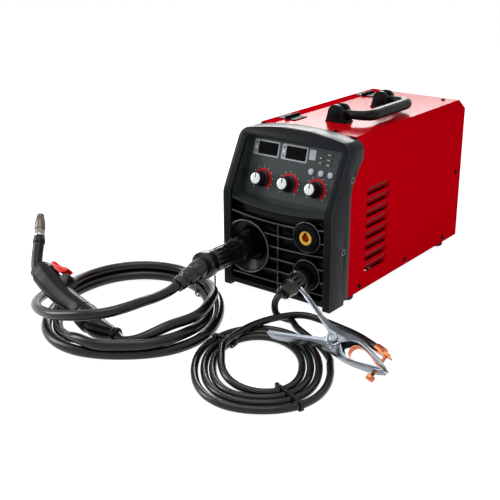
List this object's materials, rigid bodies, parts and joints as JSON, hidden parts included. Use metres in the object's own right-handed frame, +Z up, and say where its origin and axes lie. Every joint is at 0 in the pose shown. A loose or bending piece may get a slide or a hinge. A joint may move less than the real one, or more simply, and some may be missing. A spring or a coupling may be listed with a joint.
{
  "type": "MIG welding machine",
  "caption": "Compact wire-feed (MIG) inverter welder: red folded case, black front frame, folding handle, gas torch and earth clamp on coiled cables.",
  "frame": {"origin": "on the ground, under the middle of the case", "axes": "+Z up, +Y from the front panel to the rear wall, +X to the right as seen by the user who faces the front panel"},
  "size_m": [0.6233, 0.8207, 0.304],
  "materials": {
    "red_paint": "glossy",
    "black_paint": "satin",
    "frame_plastic": "moulded",
    "grille_plastic": "moulded",
    "panel_film": "satin film",
    "display": "smoked",
    "black_plastic": "moulded",
    "white_plastic": "glossy",
    "red_plastic": "glossy",
    "natural_plastic": "moulded",
    "black_rubber": "satin",
    "zinc_steel": "zinc plated",
    "bright_steel": "turned",
    "nickel": "satin nickel",
    "brass": "turned",
    "copper": "copper, plain",
    "cast_alloy": "cast",
    "heat_sink": "extruded",
    "circuit": "solder mask"
  },
  "bodies": {
    "case": {"base_tray": "black_paint", "right_cover": "red_paint", "rear_panel": "grille_plastic", "front_frame": "frame_plastic", "front_grille": "grille_plastic", "control_panel": "panel_film", "display_lenses": "display", "torch_socket": "black_plastic", "power_socket_flanges": "black_plastic", "power_socket_inserts": "brass", "feet": "black_rubber", "handle_brackets": "black_plastic", "hinge_leaves": "black_paint", "control_board": "circuit", "inverter": "heat_sink", "fan_frame": "black_plastic", "divider": "zinc_steel", "feed_motor": "cast_alloy", "feed_plate": "cast_alloy", "spool_spindle": "black_plastic", "gas_valve": "brass", "mains_gland": "black_plastic", "case_screws": "black_paint", "torch_plug": "black_plastic", "torch_nozzle": "nickel", "torch_neck": "black_plastic", "torch_handle": "frame_plastic", "torch_boot": "black_rubber", "earth_plug": "black_rubber", "clamp_lower_jaw": "zinc_steel", "clamp_pivot": "zinc_steel", "clamp_strap": "copper", "torch_cable_lead": "black_rubber", "torch_cable_coil": "black_rubber", "torch_cable_tail": "black_rubber", "earth_cable_lead": "black_rubber", "earth_cable_coil": "black_rubber", "earth_cable_tail": "black_rubber", "cable_ties": "black_plastic"},
    "handle": {"carry_handle": "black_rubber"},
    "door": {"side_door": "red_paint", "door_hinges": "black_paint"},
    "catch": {"door_catch": "black_plastic"},
    "knob_l": {"knob_left": "black_plastic"},
    "knob_m": {"knob_middle": "black_plastic"},
    "knob_r": {"knob_right": "black_plastic"},
    "button_l": {"button_left": "white_plastic"},
    "button_m": {"button_middle": "white_plastic"},
    "button_r": {"button_right": "white_plastic"},
    "fan": {"fan_rotor": "black_plastic"},
    "roll": {"drive_roll": "bright_steel"},
    "arm": {"pressure_arm": "cast_alloy"},
    "arm_roll": {"pressure_roll": "bright_steel"},
    "tension": {"tension_knob": "red_plastic"},
    "hub": {"spool_hub": "natural_plastic"},
    "rocker": {"power_rocker": "red_plastic"},
    "trigger": {"torch_trigger": "red_plastic"},
    "clamp_upper": {"clamp_upper_jaw": "zinc_steel", "clamp_bolts": "copper"},
    "plug_nut": {"torch_plug_nut": "black_plastic"}
  },
  "joints": [
    {"name": "handle_swing", "type": "hinge", "parent": "case", "child": "handle", "pos_m": [0.012, 0, 0.289], "axis": [0, -1, 0], "range_deg": [0, 90]},
    {"name": "door_swing", "type": "hinge", "parent": "case", "child": "door", "pos_m": [-0.068, 0, 0.2773], "axis": [0, 1, 0], "range_deg": [0, 100]},
    {"name": "catch_slide", "type": "slide", "parent": "door", "child": "catch", "axis": [0, 0, -1], "range_m": [0, 0.007]},
    {"name": "knob_l_turn", "type": "hinge", "parent": "case", "child": "knob_l", "pos_m": [-0.058, -0.1819, 0.18972], "axis": [0, -0.9613, 0.2756], "range_deg": [-135, 135]},
    {"name": "knob_m_turn", "type": "hinge", "parent": "case", "child": "knob_m", "pos_m": [-0.0045, -0.1819, 0.18972], "axis": [0, -0.9613, 0.2756], "range_deg": [-135, 135]},
    {"name": "knob_r_turn", "type": "hinge", "parent": "case", "child": "knob_r", "pos_m": [0.049, -0.1819, 0.18972], "axis": [0, -0.9613, 0.2756], "range_deg": [-135, 135]},
    {"name": "button_l_press", "type": "slide", "parent": "case", "child": "button_l", "axis": [0, 0.9613, -0.2756], "range_m": [0, 0.0015], "stiffness_N_per_m": 300},
    {"name": "button_m_press", "type": "slide", "parent": "case", "child": "button_m", "axis": [0, 0.9613, -0.2756], "range_m": [0, 0.0015], "stiffness_N_per_m": 300},
    {"name": "button_r_press", "type": "slide", "parent": "case", "child": "button_r", "axis": [0, 0.9613, -0.2756], "range_m": [0, 0.0015], "stiffness_N_per_m": 300},
    {"name": "fan_spin", "type": "hinge", "parent": "case", "child": "fan", "pos_m": [0.047, 0.2, 0.15], "axis": [0, 1, 0], "continuous": true},
    {"name": "roll_spin", "type": "hinge", "parent": "case", "child": "roll", "pos_m": [-0.06, -0.1, 0.068], "axis": [1, 0, 0], "continuous": true},
    {"name": "arm_swing", "type": "hinge", "parent": "case", "child": "arm", "pos_m": [-0.05, -0.128, 0.112], "axis": [1, 0, 0], "range_deg": [0, 60]},
    {"name": "arm_roll_spin", "type": "hinge", "parent": "arm", "child": "arm_roll", "pos_m": [-0.06, -0.1, 0.096], "axis": [1, 0, 0], "continuous": true},
    {"name": "tension_turn", "type": "hinge", "parent": "arm", "child": "tension", "pos_m": [-0.0457, -0.072, 0.12], "axis": [0, 0, 1], "range_deg": [-170, 170]},
    {"name": "hub_spin", "type": "hinge", "parent": "case", "child": "hub", "pos_m": [-0.042, 0.088, 0.15], "axis": [1, 0, 0], "continuous": true},
    {"name": "rocker_tilt", "type": "hinge", "parent": "case", "child": "rocker", "pos_m": [-0.053, 0.214, 0.224], "axis": [1, 0, 0], "range_deg": [-8, 8]},
    {"name": "trigger_pull", "type": "hinge", "parent": "case", "child": "trigger", "pos_m": [-0.24747, -0.46963, 0.07741], "axis": [-0.0149, 0.7246, -0.689], "range_deg": [0, 6], "stiffness_Nm_per_rad": 0.1},
    {"name": "clamp_open", "type": "hinge", "parent": "case", "child": "clamp_upper", "pos_m": [0.203, -0.353, 0.035], "axis": [0.0161, -0.6514, 0.7586], "range_deg": [0, 25], "stiffness_Nm_per_rad": 2, "springref_deg": -8.59, "deforming": ["earth_cable_tail"]},
    {"name": "plug_nut_turn", "type": "hinge", "parent": "case", "child": "plug_nut", "pos_m": [-0.06, -0.242, 0.082], "axis": [0, 1, 0], "continuous": true}
  ]
}
